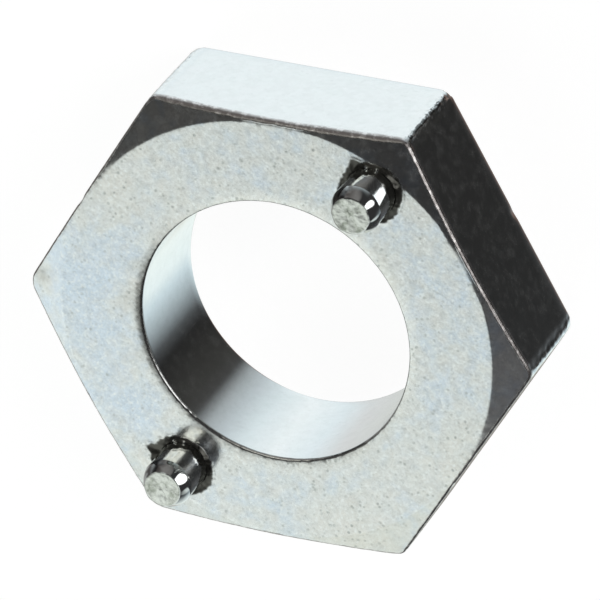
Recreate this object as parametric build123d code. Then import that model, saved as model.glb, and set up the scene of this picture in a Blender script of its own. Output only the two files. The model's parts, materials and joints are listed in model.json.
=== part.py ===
from build123d import *
import math
import os

# Two-pin hex nut: a thin, plain-bored steel hexagon with two dowel pins standing out of its front face.
# Millimetres. The bore axis is Z, the origin is the centre of the flat back seat, and the pins point up.
# The pins lie on the line across two opposite corners, which is X.

# ---- driving dimensions ----
ACROSS_FLATS = 36.0
THICKNESS = 10.0
BORE_DIAMETER = 22.0
PIN_DIAMETER = 4.0
PIN_LENGTH = 14.0                   # pressed in flush with the seat, so it stands out by what is left
PIN_CIRCLE_DIAMETER = 31.0

# ---- edges of the body ----
CORNER_RADIUS = 0.4                 # rounding of the six upright edges
EDGE_RADIUS = 0.18                  # softening of the edges round both faces
FRONT_CHAMFER_ANGLE = 14.0          # degrees, from the front face
FRONT_CHAMFER_CIRCLE = 35.6         # just inside the flats, so the cone runs all the way round
BACK_CHAMFER_ANGLE = 30.0           # degrees, from the seat
BACK_CHAMFER_CIRCLE = 40.6          # at the back only the corner tips are turned off
BORE_EDGE_BREAK = 0.25
HOLE_COUNTERSINK = 0.35

# ---- ends of a pin ----
PIN_TIP_LENGTH = 0.7                # taper at the free end
PIN_TIP_STEP = 0.45                 # how much the taper takes off the radius
PIN_LEAD_LENGTH = 0.4               # lead at the pressed-in end
PIN_LEAD_STEP = 0.25
PIN_EDGE_RADIUS = 0.12              # softening of the free end's two edges

# ---- derived values ----
SIDES = 6
STOCK_RADIUS = ACROSS_FLATS / 2 / math.cos(math.pi / SIDES) + 2.0
PIN_CENTRES = [(side * PIN_CIRCLE_DIAMETER / 2, 0.0) for side in (-1, 1)]


def turned_blank():
    """Everything that the lathe leaves: both faces, both outer cones, the bore and its edge breaks."""
    front_radius = FRONT_CHAMFER_CIRCLE / 2
    back_radius = BACK_CHAMFER_CIRCLE / 2
    bore_radius = BORE_DIAMETER / 2
    front_drop = (STOCK_RADIUS - front_radius) * math.tan(math.radians(FRONT_CHAMFER_ANGLE))
    back_rise = (STOCK_RADIUS - back_radius) * math.tan(math.radians(BACK_CHAMFER_ANGLE))
    outline = Polyline(
        (bore_radius + BORE_EDGE_BREAK, 0),
        (back_radius, 0),
        (STOCK_RADIUS, back_rise),
        (STOCK_RADIUS, THICKNESS - front_drop),
        (front_radius, THICKNESS),
        (bore_radius + BORE_EDGE_BREAK, THICKNESS),
        (bore_radius, THICKNESS - BORE_EDGE_BREAK),
        (bore_radius, BORE_EDGE_BREAK),
        close=True,
    )
    return revolve(Plane.XZ * make_face(outline), Axis.Z)


def is_outer(edge):
    """True for an edge round the outside of a face, and false for the upright edges and the bore."""
    box = edge.bounding_box()
    middle = edge @ 0.5
    return box.size.Z < THICKNESS / 4 and math.hypot(middle.X, middle.Y) > ACROSS_FLATS / 2 - EDGE_RADIUS


def nut_body():
    """Hexagonal body with its bore and the two pin holes."""
    hexagon = RegularPolygon(ACROSS_FLATS / 2, SIDES, major_radius=False)      # two corners on X
    prism = extrude(hexagon, THICKNESS)
    prism = fillet(prism.edges().filter_by(Axis.Z), CORNER_RADIUS)
    body = prism & turned_blank()
    body = fillet(body.edges().filter_by(is_outer), EDGE_RADIUS)
    for x, y in PIN_CENTRES:
        hole = Cylinder(PIN_DIAMETER / 2, THICKNESS, align=(Align.CENTER, Align.CENTER, Align.MIN))
        rim = Cone(
            PIN_DIAMETER / 2,
            PIN_DIAMETER / 2 + HOLE_COUNTERSINK,
            HOLE_COUNTERSINK,
            align=(Align.CENTER, Align.CENTER, Align.MAX),
        )
        body -= Pos(x, y, 0) * hole
        body -= Pos(x, y, THICKNESS) * rim
    return body


def dowel_pin():
    """One straight dowel pin on Z, from its pressed-in end at 0 to its free end.

    Its round side has an edge where it leaves the body, so that the free end is a wall of its own.
    """
    radius = PIN_DIAMETER / 2
    outline = Polyline(
        (0, PIN_LENGTH),
        (radius - PIN_TIP_STEP, PIN_LENGTH),
        (radius, PIN_LENGTH - PIN_TIP_LENGTH),
        (radius, THICKNESS),
        (radius, PIN_LEAD_LENGTH),
        (radius - PIN_LEAD_STEP, 0),
        (0, 0),
        close=True,
    )
    pin = revolve(Plane.XZ * make_face(outline), Axis.Z, clean=False)
    tip_edges = pin.edges().filter_by(GeomType.CIRCLE).group_by(Axis.Z)[-2:]
    return fillet([edge for level in tip_edges for edge in level], PIN_EDGE_RADIUS)


os.makedirs("parts", exist_ok=True)
nodes = {"nut_body": nut_body()}
for number, (x, y) in enumerate(PIN_CENTRES, start=1):
    nodes[f"dowel_pin_{number}"] = Pos(x, y, 0) * dowel_pin()
for name, shape in nodes.items():
    export_step(shape, f"parts/{name}.step")
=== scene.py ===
import json
import math

import bpy
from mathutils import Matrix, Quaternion, Vector, noise
from mathutils.geometry import delaunay_2d_cdt


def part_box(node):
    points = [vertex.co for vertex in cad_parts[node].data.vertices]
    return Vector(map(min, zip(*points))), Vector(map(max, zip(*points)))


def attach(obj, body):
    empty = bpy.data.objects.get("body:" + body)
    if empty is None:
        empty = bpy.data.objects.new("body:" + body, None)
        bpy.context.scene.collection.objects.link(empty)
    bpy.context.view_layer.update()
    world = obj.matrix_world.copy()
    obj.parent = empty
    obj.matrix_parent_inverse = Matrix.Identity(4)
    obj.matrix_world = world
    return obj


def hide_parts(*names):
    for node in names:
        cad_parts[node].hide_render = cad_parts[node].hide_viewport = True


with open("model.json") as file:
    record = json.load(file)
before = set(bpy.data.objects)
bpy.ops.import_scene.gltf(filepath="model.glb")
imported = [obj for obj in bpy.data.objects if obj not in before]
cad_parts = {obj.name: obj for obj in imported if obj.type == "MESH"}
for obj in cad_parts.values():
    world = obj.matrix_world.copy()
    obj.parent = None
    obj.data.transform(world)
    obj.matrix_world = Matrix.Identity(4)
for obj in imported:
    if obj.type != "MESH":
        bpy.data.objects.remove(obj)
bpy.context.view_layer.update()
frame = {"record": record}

# ---------------------------------------------------------------------------
# Sizes. Metres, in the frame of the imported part: +Z along the bore, towards the pins.
# ---------------------------------------------------------------------------
MM = 0.001
BODY_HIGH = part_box("nut_body")[1]
MOUNTS = {mount["name"]: mount for mount in frame["record"]["mounts"]}
APOTHEM = BODY_HIGH.y                           # half the width across flats
THICKNESS = BODY_HIGH.z
BORE_RADIUS = MOUNTS["bore"]["dims"]["r_mm"] * MM
PIN_RADIUS = MOUNTS["drive_pins"]["dims"]["stud_r_mm"] * MM
PIN_NODES = ("dowel_pin_1", "dowel_pin_2")

SIDES = 6
CORNER_RADIUS = 0.4 * MM                        # upright edges, where they are sharpest
# the same edges next to the front and the seat, where they are knocked, from the one on +X
KNOCKED_CORNER_RADII = [size * MM for size in (0.95, 0.95, 1.45, 1.1, 0.95, 0.95)]
FRONT_CIRCLE_RADIUS = 17.8 * MM                 # where the face meets the front chamfer
FRONT_CONE = math.tan(math.radians(14.0))
BACK_CIRCLE_RADIUS = 20.3 * MM
BACK_CONE = math.tan(math.radians(30.0))
BORE_BREAK = 0.25 * MM                          # rounding of the bore's two rims
BACK_EDGE = 0.25 * MM                           # rounding of the edge between the seat and the flats
HOLE_RADIUS = PIN_RADIUS + 0.01 * MM
SHARP_ANGLE = math.radians(50)                  # faces that meet at more than this shade apart

# ---------------------------------------------------------------------------
# Camera: a long lens, rolled so that the line of the pins climbs to the right.
# ---------------------------------------------------------------------------
VIEW_AZIMUTH = math.radians(-4.5)
VIEW_ELEVATION = math.radians(54.87)
VIEW_ROLL = math.radians(-139.9)
VIEW_DISTANCE = 0.5305
VIEW_LENS = 412.9
VIEW_TARGET = Vector((0.0002, 0.00005, 0.00486))


def direction(azimuth, elevation):
    """Unit vector at an azimuth from +X towards +Y and an elevation, both in radians."""
    return Vector((
        math.cos(elevation) * math.cos(azimuth),
        math.cos(elevation) * math.sin(azimuth),
        math.sin(elevation),
    ))


def make_camera():
    towards_camera = direction(VIEW_AZIMUTH, VIEW_ELEVATION)
    data = bpy.data.cameras.new("camera")
    data.lens = VIEW_LENS
    data.sensor_width = 36.0
    data.clip_start = 0.01
    data.clip_end = 100.0
    camera = bpy.data.objects.new("camera", data)
    bpy.context.scene.collection.objects.link(camera)
    camera.location = VIEW_TARGET + towards_camera * VIEW_DISTANCE
    camera.rotation_mode = "QUATERNION"
    level = (-towards_camera).to_track_quat("-Z", "Y")
    camera.rotation_quaternion = level @ Quaternion((0.0, 0.0, 1.0), VIEW_ROLL)
    bpy.context.scene.camera = camera


make_camera()

# ---------------------------------------------------------------------------
# Studio: what the metal sees round it
# ---------------------------------------------------------------------------
# below the horizon, by azimuth in degrees
LOW_WALL = (
    (-180, (0.24, 0.21, 0.19)),
    (-172, (0.34, 0.31, 0.28)),
    (-164, (0.84, 0.89, 0.84)),
    (-150, (0.94, 1.03, 1.01)),
    (-118, (0.92, 1.03, 1.04)),
    (-104, (0.68, 0.81, 0.87)),
    (-84, (0.36, 0.42, 0.45)),
    (-69, (0.075, 0.08, 0.085)),
    (-58, (0.020, 0.020, 0.020)),
    (-22, (0.046, 0.046, 0.044)),
    (-10, (0.06, 0.06, 0.06)),
    (2, (0.40, 0.44, 0.46)),
    (16, (0.58, 0.65, 0.69)),
    (34, (0.80, 0.90, 0.94)),
    (60, (0.98, 1.05, 1.08)),
    (90, (0.85, 0.95, 1.00)),
    (115, (0.75, 0.77, 0.78)),
    (160, (0.66, 0.69, 0.66)),
    (180, (0.24, 0.21, 0.19)),
)
DARK_ROOM = (0.034, 0.034, 0.035)
# soft round panels: azimuth, elevation, the angles where each starts to fade and ends, and colour
HIGH_PANELS = (
    (-128, 52, 6, 26, (0.100, 0.100, 0.104)),
    (132, 62, 8, 24, (0.058, 0.0575, 0.0565)),
    (50, 12, 20, 42, (0.245, 0.235, 0.23)),
    (180, 22, 32, 42, (0.86, 0.92, 0.90)),
    (180, 14, 4, 24, (0.77, 0.83, 0.81)),
    (-160, 37, 3, 15, (0.76, 0.81, 0.77)),
    (34, 55, 4, 9, (1.15, 1.15, 1.06)),
    (55, 55, 5, 9, (1.15, 1.15, 1.06)),
    (76, 55, 4, 9, (1.15, 1.15, 1.06)),
    (-36, 33, 15, 20, (1.9, 1.9, 1.9)),
    (-35, -5, 9, 15, (2.2, 2.2, 2.2)),
    (126, 6, 10, 26, (0.26, 0.25, 0.24)),
    (-92, -18, 3, 11, (0.70, 0.76, 0.74)),
)
LOW_PANELS = (
    (-60, -82, 10, 21, (0.20, 0.14, 0.12)),
)
# heights of a unit ray between which the low wall gives way to the dark room and its panels
WALL_FADE = (-0.72, -0.15)
FLOOR_RADIUS = 3.0
FLOOR_DROP = 0.02 * MM                          # keeps the floor clear of the seat
FLOOR_GLOW, FLOOR_ALBEDO = 0.93, 0.25
ROOM_RADIUS = 2.0


class Tree:
    """Short calls for building a node tree."""

    def __init__(self, owner):
        owner.use_nodes = True
        self.nodes = owner.node_tree.nodes
        self.links = owner.node_tree.links

    def add(self, kind, inputs=None, **settings):
        node = self.nodes.new(kind)
        for name, value in settings.items():
            setattr(node, name, value)
        for name, value in (inputs or {}).items():
            if isinstance(value, bpy.types.NodeSocket):
                self.links.new(value, node.inputs[name])
            else:
                node.inputs[name].default_value = value
        return node

    def math(self, operation, first, second=0.0):
        return self.add("ShaderNodeMath", {0: first, 1: second}, operation=operation).outputs[0]

    def fade(self, value, low, high, out_low=0.0, out_high=1.0):
        """Runs smoothly from out_low to out_high as the value goes from low to high."""
        node = self.add(
            "ShaderNodeMapRange",
            {"Value": value, "From Min": low, "From Max": high, "To Min": out_low, "To Max": out_high},
            interpolation_type="SMOOTHSTEP",
        )
        return node.outputs["Result"]

    def mix(self, factor, first, second):
        node = self.add("ShaderNodeMix", data_type="RGBA")
        for name, value in (("Factor", factor), ("A", first), ("B", second)):
            if isinstance(value, bpy.types.NodeSocket):
                self.links.new(value, node.inputs[name])
            elif name == "Factor":
                node.inputs[name].default_value = value
            else:
                node.inputs[name].default_value = (*value, 1.0)
        return node.outputs["Result"]

    def layer(self, name):
        """One of the values that add_layer gave each vertex."""
        return self.add("ShaderNodeAttribute", attribute_name=name).outputs["Fac"]

    def ramp(self, factor, stops):
        node = self.add("ShaderNodeValToRGB", {"Fac": factor})
        elements = node.color_ramp.elements
        while len(elements) < len(stops):
            elements.new(0.5)
        for element, (position, colour) in zip(elements, stops):
            element.position = position
            element.color = (*colour, 1.0)
        return node.outputs["Color"]


def make_world():
    """What the metal mirrors, by direction: a low wall, and soft panels in a dark room above it."""
    world = bpy.data.worlds.new("studio")
    bpy.context.scene.world = world
    tree = Tree(world)
    ray = tree.add("ShaderNodeTexCoord").outputs["Generated"]
    split = tree.add("ShaderNodeSeparateXYZ", {"Vector": ray}).outputs
    turn = tree.math("ARCTAN2", split["Y"], split["X"])
    turn = tree.math("MULTIPLY_ADD", turn, 0.5 / math.pi)
    turn.node.inputs[2].default_value = 0.5
    low = tree.ramp(turn, [(azimuth / 360 + 0.5, colour) for azimuth, colour in LOW_WALL])
    high = tree.add("ShaderNodeRGB").outputs[0]
    high.default_value = (*DARK_ROOM, 1.0)

    def hang(colour, panels):
        for azimuth, elevation, inner, outer, tone in panels:
            axis = direction(math.radians(azimuth), math.radians(elevation))
            product = tree.add("ShaderNodeVectorMath", {0: ray, 1: axis}, operation="DOT_PRODUCT")
            dot = product.outputs["Value"]
            mask = tree.fade(dot, math.cos(math.radians(outer)), math.cos(math.radians(inner)))
            colour = tree.mix(mask, colour, tone)
        return colour

    high = hang(high, HIGH_PANELS)
    low = hang(low, LOW_PANELS)
    above = tree.fade(split["Z"], *WALL_FADE)
    background = tree.nodes["Background"]
    tree.links.new(tree.mix(above, low, high), background.inputs["Color"])


def glowing(name, strength, albedo):
    """A matt white that also gives off light, as a light table does."""
    material = bpy.data.materials.new(name)
    material.use_nodes = True
    shader = material.node_tree.nodes["Principled BSDF"]
    shader.inputs["Base Color"].default_value = (albedo, albedo, albedo, 1.0)
    shader.inputs["Roughness"].default_value = 1.0
    shader.inputs["Specular IOR Level"].default_value = 0.0
    shader.inputs["Emission Color"].default_value = (1.0, 1.0, 1.0, 1.0)
    shader.inputs["Emission Strength"].default_value = strength
    return material


def make_stage():
    """A pale light table and a pale room. The metal mirrors the world instead of either."""
    bpy.ops.mesh.primitive_circle_add(
        vertices=96, radius=FLOOR_RADIUS, fill_type="NGON", location=(0, 0, -FLOOR_DROP)
    )
    floor = bpy.context.object
    floor.name = "floor"
    floor.visible_glossy = False
    floor.data.materials.append(glowing("floor", FLOOR_GLOW, FLOOR_ALBEDO))
    bpy.ops.mesh.primitive_uv_sphere_add(segments=48, ring_count=24, radius=ROOM_RADIUS)
    room = bpy.context.object
    room.name = "room"
    room.data.materials.append(glowing("room", 1.0, 0.0))
    for ray_kind in ("diffuse", "glossy", "transmission", "volume_scatter", "shadow"):
        setattr(room, "visible_" + ray_kind, False)


make_world()
make_stage()
bpy.context.scene.view_settings.view_transform = "Standard"


# ---------------------------------------------------------------------------
# Shape helpers
# ---------------------------------------------------------------------------
def rough(x, y, z, size, octaves=3):
    """Smooth fractal noise of about -1 to 1 whose largest lumps are one size across."""
    return noise.fractal(Vector((x, y, z)) / size, 0.8, 2.1, octaves)


def ease(value, low, high):
    """0 below low, 1 above high, smooth between."""
    part = min(1.0, max(0.0, (value - low) / (high - low)))
    return part * part * (3.0 - 2.0 * part)


def circle(radius, count, centre=(0.0, 0.0)):
    """Points evenly turned round a centre, from the one towards +X."""
    return [
        (
            centre[0] + radius * math.cos(2 * math.pi * step / count),
            centre[1] + radius * math.sin(2 * math.pi * step / count),
        )
        for step in range(count)
    ]


# ---------------------------------------------------------------------------
# Body
# ---------------------------------------------------------------------------
CORNER_STEPS = 8
FLAT_STEPS = 124
BORE_STEPS = 640
HOLE_STEPS = 128
PIN_CENTRES = []
for pin_node in PIN_NODES:
    pin_low, pin_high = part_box(pin_node)
    PIN_CENTRES.append(((pin_low.x + pin_high.x) / 2, (pin_low.y + pin_high.y) / 2))


# tongues torn outwards from each pin's dish: angle round the pin, spread, reach in mm
DISH_TONGUES = (
    ((97, 7, 0.65), (150, 12, 0.15), (-84, 16, 0.15)),
    ((-62, 30, 0.10), (60, 9, 0.20), (170, 10, 0.15)),
)


def outline_points(corner_radii):
    """(point, normal) round the hexagon with its rounded corners, from the corner on +X."""
    points = []
    reaches = [(APOTHEM - radius) / math.cos(math.pi / SIDES) for radius in corner_radii]
    for side in range(SIDES):
        corner = 2 * math.pi * side / SIDES
        corner_radius = corner_radii[side]
        following_radius = corner_radii[(side + 1) % SIDES]
        middle = Vector((math.cos(corner), math.sin(corner))) * reaches[side]
        for step in range(CORNER_STEPS + 1):
            turn = corner + math.pi / SIDES * (2 * step / CORNER_STEPS - 1)
            normal = Vector((math.cos(turn), math.sin(turn)))
            points.append((middle + normal * corner_radius, normal))
        following = corner + 2 * math.pi / SIDES
        normal = Vector((math.cos(corner + math.pi / SIDES), math.sin(corner + math.pi / SIDES)))
        start = points[-1][0]
        end = Vector((math.cos(following), math.sin(following))) * reaches[(side + 1) % SIDES]
        end += normal * following_radius
        for step in range(1, FLAT_STEPS):
            points.append((start.lerp(end, step / FLAT_STEPS), normal))
    return points


# the dish beyond the pin, in mm: its usual width, and the height and pace of each wave in it
DISH_WIDTH = 0.57
DISH_WAVES = ((0.19, 1.2), (0.13, 4.0), (0.08, 9.0))
WIDEST_DISH = 1.6 * MM
DISH_DEPTH = 0.11 * MM
DISH_LIP = 0.012 * MM                           # metal pushed up round the dish
# the narrow crevice right against the pin
CREVICE_DEPTH = 0.03 * MM
CREVICE_WIDTH = 0.08 * MM


def dish_width(angle, index):
    """How far the torn dish round a pin reaches beyond the pin, at an angle round it."""
    wave = Vector((math.cos(angle), math.sin(angle), 3.7 * index))
    width = DISH_WIDTH
    for height, pace in DISH_WAVES:
        width += height * noise.noise(wave * pace)
    for turn, spread, extra in DISH_TONGUES[index]:
        off = (angle - math.radians(turn) + math.pi) % (2 * math.pi) - math.pi
        width += extra * math.exp(-(off / math.radians(spread)) ** 2)
    return width * MM


# small flats in the dishes, cleared of the dirt and painted shade there: x and y in mm
CLEARED_SPOTS = ((-14.11, 1.58), (-13.62, 0.94), (17.12, 1.34), (17.52, 0.58))
CLEARED_SPOT_SIZE = 0.13 * MM
CLEARED_SPOT_DEPTH = 0.03 * MM


def pin_dish(x, y):
    """(depth of the dish and crevice round the nearest pin, how dark its dirt and painted shade are
    there).
    """
    depth, dirt_and_shade = 0.0, 0.0
    for index, centre in enumerate(PIN_CENTRES):
        away = math.hypot(x - centre[0], y - centre[1]) - PIN_RADIUS
        if away > WIDEST_DISH:
            continue
        width = dish_width(math.atan2(y - centre[1], x - centre[0]), index)
        part = away / width
        depth += CREVICE_DEPTH * (1.0 - ease(away, 0.0, CREVICE_WIDTH))
        depth += DISH_DEPTH * (1.0 - ease(part, 0.0, 1.0)) * (1.0 + 0.45 * rough(x, y, 5.0, 0.5 * MM, 2))
        depth -= DISH_LIP * math.exp(-((part - 1.12) / 0.2) ** 2)
        # the dark dish colour is dirt and painted shade: it darkens the crevice and dish round the pin
        # and covers glints on their slopes
        ragged = part + 0.22 * rough(x, y, 11.0, 0.45 * MM, 2)
        dirt_and_shade = max(dirt_and_shade, 1.0 - ease(ragged, 0.86, 1.14))
    for spot_x, spot_y in CLEARED_SPOTS:
        cleared = math.exp(-(math.hypot(x - spot_x * MM, y - spot_y * MM) / CLEARED_SPOT_SIZE) ** 4)
        depth += (CLEARED_SPOT_DEPTH - depth) * cleared
        dirt_and_shade *= 1.0 - cleared
    return depth, dirt_and_shade


CHAMFER_WAVER = 0.006 * MM                      # makes the line between face and chamfer wander
CHAMFER_SOFTNESS = 0.012 * MM
# the face rolls off slightly towards the bore
RIM_ROLL_DEPTH = 0.010 * MM
RIM_ROLL_WIDTH = 0.55 * MM


def front_height(x, y):
    """Height of the front of the body: flat face, chamfer cone, and the dishes round the pins."""
    radius = math.hypot(x, y)
    past = (radius - FRONT_CIRCLE_RADIUS) * FRONT_CONE
    past += CHAMFER_WAVER * rough(x, y, 0.0, 0.4 * MM)
    height = THICKNESS - (past + math.hypot(past, CHAMFER_SOFTNESS)) / 2
    rolled = 1.0 - ease(radius - BORE_RADIUS - BORE_BREAK, 0.0, RIM_ROLL_WIDTH)
    height -= RIM_ROLL_DEPTH * rolled * (1.0 + 0.6 * rough(x, y, 3.0, 3.0 * MM, 2))
    return height - pin_dish(x, y)[0]


def back_height(x, y):
    """Height of the back: the flat seat, with the corner tips turned off."""
    return max(0.0, math.hypot(x, y) - BACK_CIRCLE_RADIUS) * BACK_CONE


def beyond(loop, centre, x, y):
    """Whether a point is outside a closed loop whose points are evenly turned round a centre."""
    turn = math.atan2(y - centre[1], x - centre[0]) / (2 * math.pi) % 1.0
    step = int(turn * len(loop)) % len(loop)
    (start_x, start_y), (end_x, end_y) = loop[step], loop[(step + 1) % len(loop)]
    return (end_x - start_x) * (y - start_y) < (end_y - start_y) * (x - start_x)


# for delaunay_2d_cdt: triangles inside the outline, and how near two points may be
INSIDE_ONLY = 1
NEAREST_POINTS = 1e-9


def filled(loops, extra, height):
    """Triangles over the area inside the first closed loop of (x, y), round the bore and the two
    pin holes, which are the other three loops. The triangles also meet at the extra points.
    Returns (list of 3-D points, triangles, index of each loop's points)."""
    flat = [Vector(point) for loop in loops for point in loop]
    flat += [Vector(point) for point in extra]
    edges = []
    starts = []
    for loop in loops:
        start = len(edges)
        starts.append(start)
        edges += [(start + step, start + (step + 1) % len(loop)) for step in range(len(loop))]
    out, _, faces, origins, _, _ = delaunay_2d_cdt(flat, edges, [], INSIDE_ONLY, NEAREST_POINTS)
    place = {}
    for index, sources in enumerate(origins):
        for source in sources:
            place[source] = index
    centres = ((0.0, 0.0), *PIN_CENTRES)
    triangles = []
    for face in faces:
        middle = (out[face[0]] + out[face[1]] + out[face[2]]) / 3
        if all(beyond(loop, centre, middle.x, middle.y) for loop, centre in zip(loops[1:], centres)):
            triangles.append(tuple(face))
    rings = [
        [place[start + step] for step in range(len(loop))] for start, loop in zip(starts, loops)
    ]
    points = [Vector((point.x, point.y, height(point.x, point.y))) for point in out]
    return points, triangles, rings


def lattice(spacing, wanted):
    """Points of a triangular lattice that are wanted."""
    points = []
    reach = APOTHEM * 1.2
    row = 0
    y = -reach
    while y < reach:
        x = -reach + (row % 2) * spacing / 2
        while x < reach:
            if wanted(x, y):
                points.append((x, y))
            x += spacing
        y += spacing * math.sqrt(3) / 2
        row += 1
    return points


def add_layer(data, name, values):
    """Gives each vertex of a mesh a value that its material reads by name."""
    data.attributes.new(name, "FLOAT", "POINT").data.foreach_set("value", values)


class Mesh:
    """Vertices and faces gathered piece by piece, then made into one object."""

    def __init__(self):
        self.points = []
        self.worn = []
        self.faces = []

    def add_points(self, points, worn=0.0):
        start = len(self.points)
        self.points += points
        self.worn += [worn] * len(points)
        return list(range(start, len(self.points)))

    def add_filled(self, loops, extra, height, flip=False):
        points, triangles, rings = filled(loops, extra, height)
        start = len(self.points)
        self.points += points
        self.worn += [0.0] * len(points)
        for face in triangles:
            face = [start + index for index in face]
            self.faces.append(tuple(reversed(face)) if flip else tuple(face))
        return [[start + index for index in ring] for ring in rings]

    def bridge(self, first, second):
        """Quads between two closed rings with the same number of points."""
        count = len(first)
        for step in range(count):
            following = (step + 1) % count
            self.faces.append((first[step], second[step], second[following], first[following]))

    def bridge_rows(self, rows):
        for first, second in zip(rows, rows[1:]):
            self.bridge(first, second)

    def make(self, name):
        data = bpy.data.meshes.new(name)
        data.from_pydata([tuple(point) for point in self.points], [], self.faces)
        data.validate()
        data.shade_smooth()
        add_layer(data, "worn", self.worn)
        piece = bpy.data.objects.new(name, data)
        bpy.context.scene.collection.objects.link(piece)
        return piece


def bend(start, corner, end, part):
    """Point on the curve that leaves start towards corner and arrives at end from it."""
    rest = 1.0 - part
    return start * (rest * rest) + corner * (2 * rest * part) + end * (part * part)


LARGEST_FRONT_EDGE = 0.47 * MM
SMALLEST_FRONT_EDGE = 0.12 * MM
# rounding in mm along each flat, from the one between 0 and 60 degrees
FRONT_EDGE_SIZES = (0.37, 0.19, 0.21, 0.21, 0.26, 0.23)
SIZE_BLEND = 0.06                               # share of a flat over which neighbouring sizes blend


def front_edge_size(x, y):
    """Rounding of the edge between the front and a flat, which is uneven along its length."""
    turn = math.atan2(y, x) / (2 * math.pi) * SIDES % SIDES
    side = int(turn)
    part = turn - side
    size = FRONT_EDGE_SIZES[side]
    before, after = FRONT_EDGE_SIZES[side - 1], FRONT_EDGE_SIZES[(side + 1) % SIDES]
    from_before = (before - size) / 2 * (1.0 - ease(part, 0.0, SIZE_BLEND))
    to_after = (after - size) / 2 * ease(part, 1.0 - SIZE_BLEND, 1.0)
    size += from_before + to_after
    size *= 1.0 + 0.14 * rough(x, y, 4.0, 1.6 * MM, 2) + 0.16 * rough(x, y, 7.0, 0.5 * MM, 2)
    return min(LARGEST_FRONT_EDGE, max(SMALLEST_FRONT_EDGE, size * MM))


# nicks in the edges of the flats: angle round the nut in degrees, then height, width and depth in mm
WALL_NICKS = (
    (-31.5, 0.0, 0.40, 0.07),
    (93.0, 9.9, 0.40, 0.13),
    (152.0, 0.0, 0.35, 0.08),
    (-96.0, 9.9, 0.45, 0.09),
    (214.0, 0.0, 0.40, 0.10),
)
WALL_WAVE = 0.0022 * MM                         # unevenness of the flats
# near the upright edges the flats are rougher, within these distances from the axis
CORNER_ROUGHNESS = 0.030 * MM
ROUGH_START, ROUGH_FULL = 20.3 * MM, 20.55 * MM
# the drawn bar's flats lean in slightly just above the seat
FOOT_LEAN = 0.055 * MM
FOOT_LEAN_HEIGHT = 1.3 * MM


def wall_inset(x, y, z):
    """How far a flat sits inside its true plane: a slight unevenness, and nicks at the edges."""
    inset = WALL_WAVE * (1.0 + rough(x, y, z, 2.5 * MM, 3))
    corner = ease(math.hypot(x, y), ROUGH_START, ROUGH_FULL)
    if corner > 0.0:
        inset += CORNER_ROUGHNESS * corner * (1.0 + rough(x, y, z, 0.40 * MM, 3))
    inset += FOOT_LEAN * max(0.0, 1.0 - z / FOOT_LEAN_HEIGHT) ** 2
    for angle, height, width, depth in WALL_NICKS:
        turn = math.radians(angle)
        off = math.atan2(y, x) - turn
        off = (off + math.pi) % (2 * math.pi) - math.pi
        along = off * math.hypot(x, y)
        away = math.hypot(along, z - height * MM) / (width * MM)
        if away < 2.5:
            inset += depth * MM * math.exp(-away * away) * (1.0 + 0.4 * rough(x, y, z, 0.3 * MM, 2))
    return inset


# spacing of the points that the front and the back are triangulated over
FRONT_SPACING = 0.24 * MM
BACK_SPACING = 0.9 * MM
CHAMFER_RING_SPACING = 0.085 * MM               # rings that follow the line between face and chamfer
DISH_RING_SPACING = 0.07 * MM                   # rings round each pin, over its dish
DISH_RINGS_WIDTH = 1.25 * MM
EDGE_ROWS = 6
WALL_ROWS = 36
FOOT_ROWS = 4
BREAK_ROWS = 4
STEEPEST_RISE = 0.35                            # of the front where it meets the rounded edge
SLOPE_STEP = 0.05 * MM


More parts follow.
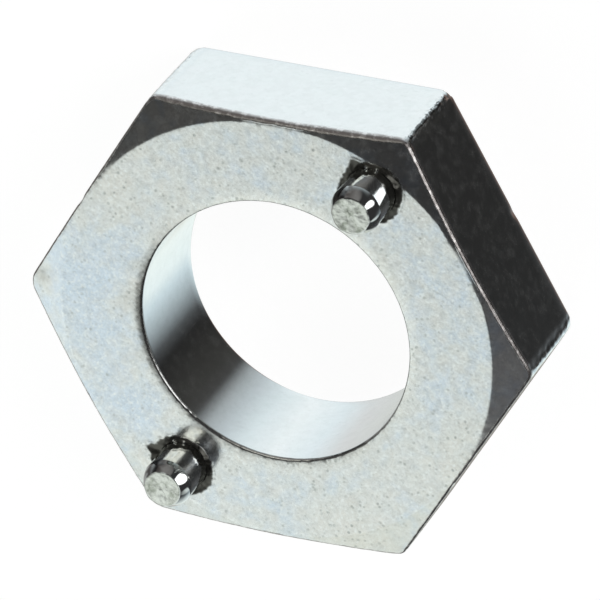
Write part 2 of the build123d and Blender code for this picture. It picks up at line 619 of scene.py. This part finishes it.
def body_mesh():
    mesh = Mesh()
    outline = outline_points(KNOCKED_CORNER_RADII)
    sharp_outline = outline_points([CORNER_RADIUS] * SIDES)
    front_sizes = [front_edge_size(point.x, point.y) for point, _ in outline]
    front_rim = [tuple(point - normal * size) for (point, normal), size in zip(outline, front_sizes)]
    back_rim = [tuple(point - normal * BACK_EDGE) for point, normal in outline]
    bore_reach = BORE_RADIUS + BORE_BREAK
    bore_rim = circle(bore_reach, BORE_STEPS)
    ragged_rim = []
    for x, y in bore_rim:
        stretch = 1.0 + BORE_BREAK / BORE_RADIUS * 0.30 * rough(x, y, 9.0, 0.5 * MM, 2)
        ragged_rim.append((x * stretch, y * stretch))
    holes = [circle(HOLE_RADIUS, HOLE_STEPS, centre) for centre in PIN_CENTRES]
    reach = APOTHEM - LARGEST_FRONT_EDGE - 0.05 * MM

    def in_hexagon(x, y, limit):
        """Whether a point is nearer than limit to the middle of each flat, and clear of the corners."""
        for side in range(SIDES // 2):
            turn = math.pi * (2 * side + 1) / SIDES
            if abs(x * math.cos(turn) + y * math.sin(turn)) > limit:
                return False
        return math.hypot(x, y) < (limit + 0.3 * MM) / math.cos(math.pi / SIDES) - 0.4 * MM

    def pin_distance(x, y):
        """Distance to the nearest pin's axis."""
        return min(math.hypot(x - centre[0], y - centre[1]) for centre in PIN_CENTRES)

    ring_band = 0.30 * MM
    dense_reach = PIN_RADIUS + DISH_RINGS_WIDTH

    def wanted_front(x, y):
        radius = math.hypot(x, y)
        return (
            radius > bore_reach + 0.16 * MM
            and abs(radius - FRONT_CIRCLE_RADIUS) > ring_band
            and pin_distance(x, y) > dense_reach
            and in_hexagon(x, y, reach)
        )

    extra = lattice(FRONT_SPACING, wanted_front)
    for step in range(-3, 4):
        ring = circle(FRONT_CIRCLE_RADIUS + step * CHAMFER_RING_SPACING, 1000)
        extra += [
            point for point in ring
            if pin_distance(*point) > dense_reach and in_hexagon(point[0], point[1], reach)
        ]
    for centre in PIN_CENTRES:
        step = 1
        while HOLE_RADIUS + step * DISH_RING_SPACING < dense_reach:
            radius = HOLE_RADIUS + step * DISH_RING_SPACING
            extra += [
                point for point in circle(radius, 176, centre)
                if in_hexagon(point[0], point[1], reach) and math.hypot(*point) > bore_reach + 0.14 * MM
            ]
            step += 1
    front_rings = mesh.add_filled([front_rim, ragged_rim, *holes], extra, front_height)

    coarse = lattice(BACK_SPACING, lambda x, y: (
        math.hypot(x, y) > bore_reach + 0.4 * MM
        and pin_distance(x, y) > PIN_RADIUS + 0.4 * MM
        and in_hexagon(x, y, APOTHEM - 0.6 * MM)
    ))
    for radius in (BACK_CIRCLE_RADIUS, BACK_CIRCLE_RADIUS + 0.2 * MM):
        coarse += [
            point for point in circle(radius, 720)
            if in_hexagon(point[0], point[1], APOTHEM - BACK_EDGE * 1.5)
        ]
    back_rings = mesh.add_filled([back_rim, bore_rim, *holes], coarse, back_height, flip=True)

    # outer edge and flats, from the front down to the seat
    rows = [front_rings[0]]
    wall_tops = []
    wall_feet = []
    columns = []
    for (point, normal), size in zip(outline, front_sizes):
        inner = point - normal * size
        deeper = point - normal * (size + SLOPE_STEP)
        start_height = front_height(inner.x, inner.y)
        slope = (start_height - front_height(deeper.x, deeper.y)) / SLOPE_STEP
        slope = max(-STEEPEST_RISE, min(0.0, slope))
        corner_height = start_height + slope * size
        start = Vector((inner.x, inner.y, start_height))
        corner = Vector((point.x, point.y, corner_height))
        end = Vector((point.x, point.y, corner_height - size))
        columns.append((start, corner, end))
        wall_tops.append(end.z)
        foot = point - normal * BACK_EDGE
        foot_height = back_height(foot.x, foot.y)
        foot_slope = BACK_CONE if foot.length > BACK_CIRCLE_RADIUS else 0.0
        wall_feet.append((foot, foot_height, foot_height + foot_slope * BACK_EDGE))

    def settled(x, y, z, normal, strength):
        inset = wall_inset(x, y, z) * strength
        return Vector((x - normal.x * inset, y - normal.y * inset, z))

    for step in range(1, EDGE_ROWS + 1):
        part = step / EDGE_ROWS
        ring = []
        for (start, corner, end), (_, normal), size in zip(columns, outline, front_sizes):
            spot = bend(start, corner, end, part)
            grain = 0.05 * size * rough(spot.x, spot.y, spot.z, 0.35 * MM, 2) * math.sin(math.pi * part)
            spot = settled(spot.x, spot.y, spot.z, normal, part)
            ring.append(spot - Vector((normal.x, normal.y, 1.0)) * abs(grain))
        rows.append(mesh.add_points(ring, worn=1.0))
    for step in range(1, WALL_ROWS + 1):
        fraction = step / WALL_ROWS
        ring = []
        for (point, normal), (sharp, _), top, (_, _, foot_corner) in zip(
            outline, sharp_outline, wall_tops, wall_feet
        ):
            foot = foot_corner + BACK_EDGE
            height = top + (foot - top) * fraction
            above_foot = ease(height, foot + 0.1 * MM, foot + 0.9 * MM)
            middle = above_foot * (1.0 - ease(height, top - 0.8 * MM, top))
            middle *= 0.75 + 0.45 * noise.noise(Vector((point.x, 0.0, height * 1.6)) / (0.35 * MM))
            spot = point.lerp(sharp, min(1.0, max(0.0, middle)))
            ring.append(settled(spot.x, spot.y, height, normal, 1.0))
        rows.append(mesh.add_points(ring))
    for step in range(1, FOOT_ROWS):
        part = step / FOOT_ROWS
        ring = []
        for (point, normal), (foot, foot_height, foot_corner) in zip(outline, wall_feet):
            start = Vector((point.x, point.y, foot_corner + BACK_EDGE))
            corner = Vector((point.x, point.y, foot_corner))
            end = Vector((foot.x, foot.y, foot_height))
            spot = bend(start, corner, end, part)
            ring.append(settled(spot.x, spot.y, spot.z, normal, 1.0 - part * 0.5))
        rows.append(mesh.add_points(ring))
    rows.append(back_rings[0])
    mesh.bridge_rows(rows)

    # bore, from the front down to the seat
    rows = [front_rings[1]]
    drops = [0.3, 0.8] + [1.0 + 0.8 * step for step in range(11)]
    bore = circle(BORE_RADIUS, BORE_STEPS)
    for step in range(1, BREAK_ROWS + 1):
        part = step / BREAK_ROWS
        ring = []
        for (outer_x, outer_y), (x, y) in zip(ragged_rim, bore):
            start = Vector((outer_x, outer_y, front_height(outer_x, outer_y)))
            corner = Vector((x, y, THICKNESS))
            spot = bend(start, corner, Vector((x, y, THICKNESS - BORE_BREAK)), part)
            dent = 0.03 * MM * max(0.0, rough(x, y, 2.0, 0.7 * MM, 2)) * math.sin(math.pi * step / 4.5)
            ring.append(spot - Vector((0.0, 0.0, dent)))
        rows.append(mesh.add_points(ring))
    for drop in drops:
        rows.append(mesh.add_points([Vector((x, y, THICKNESS - drop * MM)) for x, y in bore]))
    for step in range(BREAK_ROWS):
        part = step / BREAK_ROWS
        ring = []
        for (outer_x, outer_y), (x, y) in zip(bore_rim, bore):
            start = Vector((x, y, BORE_BREAK))
            ring.append(bend(start, Vector((x, y, 0.0)), Vector((outer_x, outer_y, 0.0)), part))
        rows.append(mesh.add_points(ring))
    rows.append(back_rings[1])
    mesh.bridge_rows([list(reversed(row)) for row in rows])

    # the two pin holes
    for index, hole in enumerate(holes):
        rows = [front_rings[2 + index]]
        for height in (9.2, 7.0, 5.0, 3.0, 1.0):
            rows.append(mesh.add_points([Vector((x, y, height * MM)) for x, y in hole]))
        rows.append(back_rings[2 + index])
        mesh.bridge_rows([list(reversed(row)) for row in rows])
    return mesh


# stains in the plating: centre and radius in mm, and tone from warm (-1) to blue (+1)
STAINS = (
    (-7.0, 14.0, 4.8, 1.10),
    (-14.0, 7.0, 3.4, 0.75),
    (-12.5, -8.0, 3.5, 0.25),
    (5.0, -14.0, 3.5, 0.25),
    (12.5, -9.0, 4.5, 0.35),
    (-5.7, 10.8, 1.6, -0.90),
    (2.0, 17.0, 3.0, -0.55),
    (-11.5, -14.0, 3.5, -0.80),
    (0.0, -17.0, 3.0, -0.60),
    (-17.5, 1.5, 2.5, -0.40),
    (-9.3, 17.2, 1.3, -0.90),
)


def stain(x, y):
    """Tone of the plating at a point, from about -1, warm, to 1, blue."""
    value = 0.42 * rough(x, y, 30.0, 3.0 * MM, 3) + 0.50 * rough(x, y, 40.0, 0.9 * MM, 3)
    for centre_x, centre_y, radius, tone in STAINS:
        away = math.hypot(x / MM - centre_x, y / MM - centre_y) / radius
        value += tone * math.exp(-away * away)
    rim = math.hypot(x, y) - BORE_RADIUS
    value -= 0.5 * math.exp(-(rim / (0.9 * MM)) ** 2)
    return value


# dark patches on the face, three of them along the bore's painted dark rim: centre and radius in mm, and
# strength
DARK_PATCHES = (
    (-9.0, 17.3, 0.8, 0.25),
    (-5.6, 10.4, 0.9, 0.12),
    (-2.6, 11.6, 0.9, 0.10),
    (-9.2, 7.6, 0.8, 0.10),
)


# the upright edges get ragged dark patches beyond these distances from the axis, most of all the one on
# +X: scuffs, and painted dark reflection on the rounded edges
SCUFF_AND_SHADE_START, SCUFF_AND_SHADE_FULL = 20.53 * MM, 20.67 * MM
KNOCKED_SCUFF_AND_SHADE, PLAIN_SCUFF_AND_SHADE = 1.9, 1.4
# the bore's front rim is duller and carries a painted dark reflection on one side, standing in for the
# dark band its rolled edge mirrors: middle and spread of that side in degrees
PAINTED_RIM_ANGLE, PAINTED_RIM_SPREAD = 128, 34
PAINTED_RIM_STRENGTH = 0.72
FRONT_DEPTH = 1.0 * MM                          # how far below the front the dirt and painted shade may reach


def painted_dark_rim(x, y):
    """How dark the painted reflection on the bore's front rim is at a point."""
    if math.hypot(x, y) < BORE_RADIUS + 0.02 * MM:
        return 0.0
    off = (math.degrees(math.atan2(y, x)) - PAINTED_RIM_ANGLE + 180) % 360 - 180
    past = (math.hypot(x, y) - BORE_RADIUS - BORE_BREAK) / MM
    past += 0.16 * rough(x, y, 60.0, 0.35 * MM, 3)
    band = 1.0 - ease(past, 0.16, 0.42)
    patchy = 1.0 + 0.3 * rough(x, y, 70.0, 0.2 * MM, 2)
    return PAINTED_RIM_STRENGTH * band * patchy * math.exp(-(off / PAINTED_RIM_SPREAD) ** 2)


def rim_shade_and_patches(x, y):
    """How dark the painted dark rim and the dark patches are at a point."""
    value = painted_dark_rim(x, y)
    for centre_x, centre_y, radius, strength in DARK_PATCHES:
        away = math.hypot(x / MM - centre_x, y / MM - centre_y) / radius
        value += strength * math.exp(-away * away) * (1.0 + 0.5 * rough(x, y, 50.0, 0.4 * MM, 2))
    return value


def set_surface(piece):
    """Writes how grainy and stained each point's surface is, and how dark its dirt and painted shade
    are, for its material to read. Grain above 1 marks the scuffs and painted dark reflection on the
    upright edges.
    """
    data = piece.data
    grain, tint, dirt_and_shade = ([0.0] * len(data.vertices) for _ in range(3))
    for index, vertex in enumerate(data.vertices):
        x, y, z = vertex.co
        radius = math.hypot(x, y)
        upward = ease(vertex.normal.z, 0.80, 0.99)
        edge = ease(radius, FRONT_CIRCLE_RADIUS - 0.15 * MM, FRONT_CIRCLE_RADIUS + 0.25 * MM)
        grain[index] = 0.15 + 0.85 * upward * (1.0 - 0.35 * edge)
        # on the upright edges grain above 1 marks ragged dark patches: scuffs, and painted dark
        # reflection
        if upward == 0.0:
            scuff_and_shade = KNOCKED_SCUFF_AND_SHADE if x > 0.9 * radius else PLAIN_SCUFF_AND_SHADE
            grain[index] += scuff_and_shade * ease(radius, SCUFF_AND_SHADE_START, SCUFF_AND_SHADE_FULL)
        tint[index] = stain(x, y) * upward
        if z > THICKNESS - FRONT_DEPTH:
            dirt_and_shade[index] = max(pin_dish(x, y)[1], rim_shade_and_patches(x, y))
    for name, values in (("grain", grain), ("stain", tint), ("dirt_and_shade", dirt_and_shade)):
        add_layer(data, name, values)


def add_body():
    piece = body_mesh().make("plated_body")
    piece.data.set_sharp_from_angle(angle=SHARP_ANGLE)
    set_surface(piece)
    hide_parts("nut_body")
    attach(piece, "root")
    return piece


# ---------------------------------------------------------------------------
# Pins
# ---------------------------------------------------------------------------
PIN_STEPS = 120
END_RADIUS = 1.54 * MM                          # flat end of a pin
TAPER_LENGTH = 1.1 * MM
# the taper is crowned: it bends towards this radius and this height above the end
TAPER_BELLY = Vector((1.8575, -0.528)) * MM

# the pin on the -X side has a small facet rubbed on its taper, in a plane that faces this way
FACET_TILT = math.radians(26)
FACET_NORMAL = direction(math.radians(-29), FACET_TILT)
# the plane passes this far out from the pin's axis, at this far below the pin's end
FACET_RADIUS = 1.922 * MM
FACET_DROP = 0.9 * MM
# the tapers carry a painted dark brown reflection on one side: middle angle, how far to each side, and
# fade, in degrees
TAPER_SHADE_MIDDLE, TAPER_SHADE_REACH, TAPER_SHADE_FADE = 122, 66, 32


def pin_mesh(node, index):
    """One pin turned from its profile, with uneven lumps on its cropped end."""
    low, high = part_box(node)
    centre = Vector(((low.x + high.x) / 2, (low.y + high.y) / 2, 0.0))
    top = high.z
    profile = [(radius * 0.1 * MM, top) for radius in range(1, 15)]
    belly = TAPER_BELLY + Vector((0.0, top))
    shoulder = Vector((PIN_RADIUS, top - TAPER_LENGTH))
    taper = [bend(Vector((END_RADIUS, top)), belly, shoulder, part / 10) for part in range(1, 10)]
    profile.append((END_RADIUS, top))
    profile += [tuple(spot) for spot in taper]
    profile.append(tuple(shoulder))
    height = shoulder.y - 0.2 * MM
    while height > THICKNESS - 0.6 * MM:
        profile.append((PIN_RADIUS, height))
        height -= 0.2 * MM
    profile += [(PIN_RADIUS, 6 * MM), (PIN_RADIUS, 3 * MM), (PIN_RADIUS, 0.4 * MM)]
    profile += [(PIN_RADIUS - 0.04 * MM, 0.15 * MM), (PIN_RADIUS - 0.15 * MM, 0.03 * MM)]
    profile += [(PIN_RADIUS - 0.3 * MM, 0.0), (1.2 * MM, 0.0), (0.6 * MM, 0.0)]

    facet_slope = Vector((math.cos(FACET_TILT), math.sin(FACET_TILT)))
    facet_reach = Vector((FACET_RADIUS, -FACET_DROP)).dot(facet_slope)
    end_centre = Vector((0.0, 0.0, top))
    mesh = Mesh()
    rows = []
    for radius, height in profile:
        ring = []
        crown = ease(height, shoulder.y, top - 0.1 * MM)
        for x, y in circle(radius, PIN_STEPS):
            wave = noise.noise(Vector((x, y, 0.0)).normalized() * 2.6 + Vector((0.0, 0.0, 5.0 * index)))
            swell = 1.0 - 0.03 * crown * (0.5 + wave) * ease(radius, 0.8 * MM, END_RADIUS)
            lump = 0.014 * MM * crown * (rough(x, y, 20.0 * index + height, 0.55 * MM, 3) + 0.8)
            spot = Vector((x * swell, y * swell, height - max(0.0, lump)))
            if centre.x < 0.0:
                proud = (spot - end_centre).dot(FACET_NORMAL) - facet_reach
                spot -= FACET_NORMAL * max(0.0, proud)
            ring.append(spot + centre)
        rows.append(mesh.add_points(ring))
    tip = mesh.add_points([centre + Vector((0.0, 0.0, top - 0.01 * MM))])[0]
    foot = mesh.add_points([centre])[0]
    for step in range(PIN_STEPS):
        following = (step + 1) % PIN_STEPS
        mesh.faces.append((tip, rows[0][step], rows[0][following]))
        mesh.faces.append((foot, rows[-1][following], rows[-1][step]))
    mesh.bridge_rows(rows)
    return mesh


def add_pin(node, index):
    piece = pin_mesh(node, index).make("ground_" + node)
    piece.data.set_sharp_from_angle(angle=SHARP_ANGLE)
    low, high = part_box(node)
    shoulder = high.z - TAPER_LENGTH
    for edge in piece.data.edges:
        if all(abs(piece.data.vertices[end].co.z - shoulder) < 0.01 * MM for end in edge.vertices):
            edge.use_edge_sharp = True
    sawn = []
    taper_shade = []
    for vertex in piece.data.vertices:
        x = vertex.co.x - (low.x + high.x) / 2
        y = vertex.co.y - (low.y + high.y) / 2
        z = vertex.co.z
        sawn.append(ease(abs(vertex.normal.z), 0.85, 0.97))
        # painted dark reflection on one side of the taper, the same side on both pins
        off = abs((math.degrees(math.atan2(y, x)) - TAPER_SHADE_MIDDLE + 180) % 360 - 180)
        taper = ease(z, shoulder - 0.25 * MM, shoulder)
        patch = 0.80 + 0.75 * rough(x, y, z + index * MM, 0.5 * MM, 3)
        beside = math.exp(-(max(0.0, off - TAPER_SHADE_REACH) / TAPER_SHADE_FADE) ** 2)
        taper_shade.append(taper * min(1.0, patch) * beside)
    add_layer(piece.data, "sawn", sawn)
    add_layer(piece.data, "taper_shade", taper_shade)
    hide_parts(node)
    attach(piece, "root")
    return piece


# ---------------------------------------------------------------------------
# Materials
# ---------------------------------------------------------------------------
def zinc_material():
    """Zinc plate: speckled and stained on the face, smoother on the flats, worn at the edges; with dirt
    and painted shade round the pins, and painted dark reflection on the bore rim and the upright edges.
    """
    material = bpy.data.materials.new("zinc_plate")
    tree = Tree(material)
    shader = tree.nodes["Principled BSDF"]
    place = tree.add("ShaderNodeTexCoord").outputs["Object"]

    grain, tint, dirt_and_shade, worn = (tree.layer(name) for name in ("grain", "stain", "dirt_and_shade", "worn"))
    speckle = tree.math("MINIMUM", grain, 1.0)

    def shifted(offset):
        step = (offset, offset, offset)
        return tree.add("ShaderNodeVectorMath", {0: place, 1: step}, operation="ADD").outputs[0]

    def lumps(scale, detail=2.0, roughness=0.55, offset=0.0):
        return tree.add(
            "ShaderNodeTexNoise",
            {"Vector": shifted(offset), "Scale": scale, "Detail": detail, "Roughness": roughness},
        ).outputs["Fac"]

    def dots(scale, size, offset):
        """Scattered soft dots of a size, as a share of their spacing."""
        cells = tree.add("ShaderNodeTexVoronoi", {"Vector": shifted(offset), "Scale": scale})
        return tree.fade(cells.outputs["Distance"], size * 0.4, size, 1.0, 0.0)

    def scaled(value, factor):
        return tree.math("MULTIPLY", value, factor)

    colour = tree.ramp(tree.fade(tint, -1.0, 1.0), [
        (0.0, (0.875, 0.865, 0.805)),
        (0.5, (0.840, 0.865, 0.846)),
        (1.0, (0.735, 0.845, 0.955)),
    ])
    colour = tree.mix(scaled(lumps(700.0, 2.0, 0.6, 0.77), 0.35), colour, (0.90, 0.84, 0.86))
    clouds = tree.fade(lumps(1050.0, 2.0, 0.6, 0.17), 0.40, 0.66)
    colour = tree.mix(scaled(clouds, 0.08), colour, (0.50, 0.52, 0.49))
    # grain: pits and pale specks over a mottled ground
    crowd = tree.fade(lumps(900.0, 2.0, 0.6, 0.31), 0.42, 0.62)
    crowd = tree.math("ADD", crowd, tree.fade(tint, 0.4, -0.8))
    pits = tree.math("MULTIPLY", dots(1900.0, 0.34, 0.13), crowd)
    ground = tree.fade(lumps(1900.0, 1.5, 0.6, 0.4), 0.36, 0.70)
    dark = tree.math("ADD", scaled(pits, 1.1), scaled(ground, 0.36))
    colour = tree.mix(scaled(scaled(dark, speckle), 0.40), colour, (0.44, 0.46, 0.44))
    flecks = tree.fade(lumps(2700.0, 2.0, 0.65, 0.7), 0.46, 0.72)
    light = tree.math("ADD", scaled(dots(2300.0, 0.30, 0.63), 0.4), flecks)
    colour = tree.mix(scaled(scaled(light, speckle), 0.62), colour, (0.98, 1.0, 0.99))
    # on the rounded front edges it is worn through in patches
    bare = tree.fade(lumps(1800.0, 2.0, 0.7, 0.45), 0.44, 0.68)
    rubbed = tree.mix(bare, (0.38, 0.345, 0.33), (0.86, 0.82, 0.80))
    colour = tree.mix(scaled(worn, 0.85), colour, rubbed)
    # along the upright edges ragged dark patches are painted: scuffs in the plating, and painted dark
    # reflection on the rounded edges
    ragged = tree.math("ADD", grain, scaled(lumps(3800.0, 2.0, 0.7, 0.35), 2.4))
    colour = tree.mix(scaled(tree.fade(ragged, 2.95, 3.2), 0.85), colour, (0.09, 0.09, 0.09))
    # dirt and painted shade: dark round the pins, painted dark reflection along the bore rim, and dark
    # patches
    colour = tree.mix(dirt_and_shade, colour, (0.125, 0.12, 0.108))
    tree.links.new(colour, shader.inputs["Base Color"])
    # a thin haze of dust, which shows mostly where the metal mirrors something dark
    haze = tree.fade(lumps(1000.0, 4.0, 0.75, 0.21), 0.44, 0.74)
    metal = tree.math("SUBTRACT", 0.999, scaled(haze, tree.fade(speckle, 0.0, 1.0, 0.022, 0.20)))
    tree.links.new(metal, shader.inputs["Metallic"])
    finish = tree.math("ADD", tree.fade(speckle, 0.0, 1.0, 0.12, 0.15), scaled(worn, 0.22))
    finish = tree.math("ADD", finish, scaled(dirt_and_shade, 0.18))
    dull = tree.fade(lumps(1300.0, 3.0, 0.7, 0.57), 0.46, 0.66)
    finish = tree.math("ADD", finish, scaled(scaled(dull, speckle), 0.035))
    tree.links.new(finish, shader.inputs["Roughness"])
    fine = lumps(3400.0, 2.0, 0.6, 0.5)
    broad = scaled(lumps(900.0, 2.0, 0.5, 0.9), 2.0)
    relief = scaled(tree.math("ADD", fine, broad), tree.math("ADD", grain, scaled(worn, 1.8)))
    bump = tree.add("ShaderNodeBump", {"Height": relief, "Strength": 1.0, "Distance": 0.0045 * MM})
    tree.links.new(bump.outputs["Normal"], shader.inputs["Normal"])
    return material


def pin_material():
    """Ground steel: bright sides, a painted dark brown reflection on one side of the tapers, and dull
    mottled ends.
    """
    material = bpy.data.materials.new("ground_steel")
    tree = Tree(material)
    shader = tree.nodes["Principled BSDF"]
    place = tree.add("ShaderNodeTexCoord").outputs["Object"]
    sawn = tree.layer("sawn")
    taper_shade = tree.layer("taper_shade")
    mottle = tree.add(
        "ShaderNodeTexNoise", {"Vector": place, "Scale": 1100.0, "Detail": 3.0, "Roughness": 0.6}
    ).outputs["Fac"]
    dirty = tree.ramp(mottle, [
        (0.34, (0.42, 0.44, 0.38)),
        (0.50, (0.82, 0.83, 0.77)),
        (0.70, (0.88, 0.89, 0.84)),
    ])
    # a painted dark brown reflection on one side of each taper
    bright = tree.mix(tree.math("MULTIPLY", taper_shade, 0.95), (0.78, 0.80, 0.79), (0.11, 0.097, 0.09))
    colour = tree.mix(sawn, bright, dirty)
    tree.links.new(colour, shader.inputs["Base Color"])
    shader.inputs["Metallic"].default_value = 1.0
    tree.links.new(tree.fade(sawn, 0.0, 1.0, 0.07, 0.24), shader.inputs["Roughness"])
    relief = tree.math("MULTIPLY", mottle, tree.math("ADD", sawn, 0.08))
    bump = tree.add("ShaderNodeBump", {"Height": relief, "Strength": 1.0, "Distance": 0.02 * MM})
    tree.links.new(bump.outputs["Normal"], shader.inputs["Normal"])
    return material


zinc = zinc_material()
add_body().data.materials.append(zinc)
steel = pin_material()
for pin_number, pin_name in enumerate(PIN_NODES, start=1):
    add_pin(pin_name, pin_number).data.materials.append(steel)
